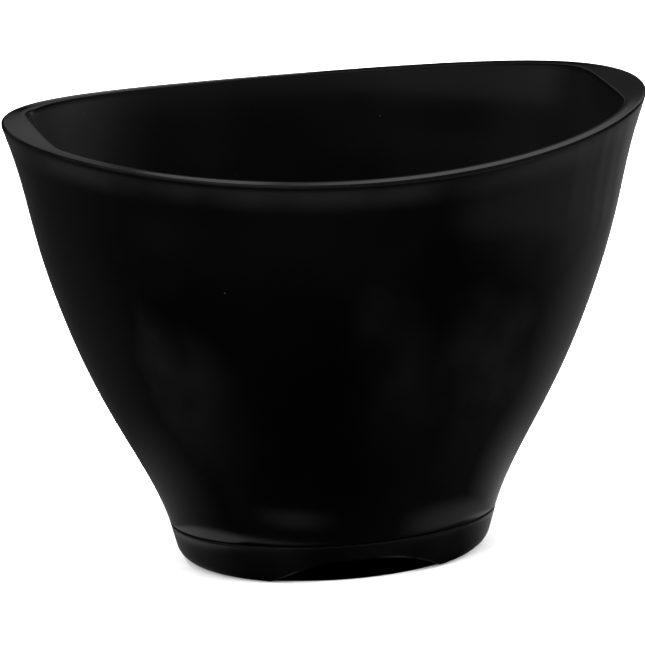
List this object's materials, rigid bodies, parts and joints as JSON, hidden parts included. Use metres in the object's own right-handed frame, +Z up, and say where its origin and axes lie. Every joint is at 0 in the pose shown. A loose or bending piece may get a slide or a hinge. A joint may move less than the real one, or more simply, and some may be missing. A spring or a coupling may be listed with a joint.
{
  "type": "hair color bowl",
  "caption": "Oval gloss plastic bowl for mixing hair colour, with a lip that rises to its ends, a wall that tapers to a narrow foot, and a soft non-slip foot ring.",
  "frame": {"origin": "centre of the plane that the bowl rests on, under the middle of the foot ring", "axes": "+X along the bowl's length towards one high end of the lip, +Y across it, +Z up"},
  "size_m": [0.1414, 0.0992, 0.1006],
  "materials": {
    "gloss_black_plastic": "polished injection-moulded black plastic with faint sink marks, hairline scuffs and a little dust",
    "soft_black_ring": "smooth satin black thermoplastic elastomer"
  },
  "bodies": {
    "root": {"bowl_shell": "gloss_black_plastic", "foot_ring": "soft_black_ring"}
  },
  "joints": []
}
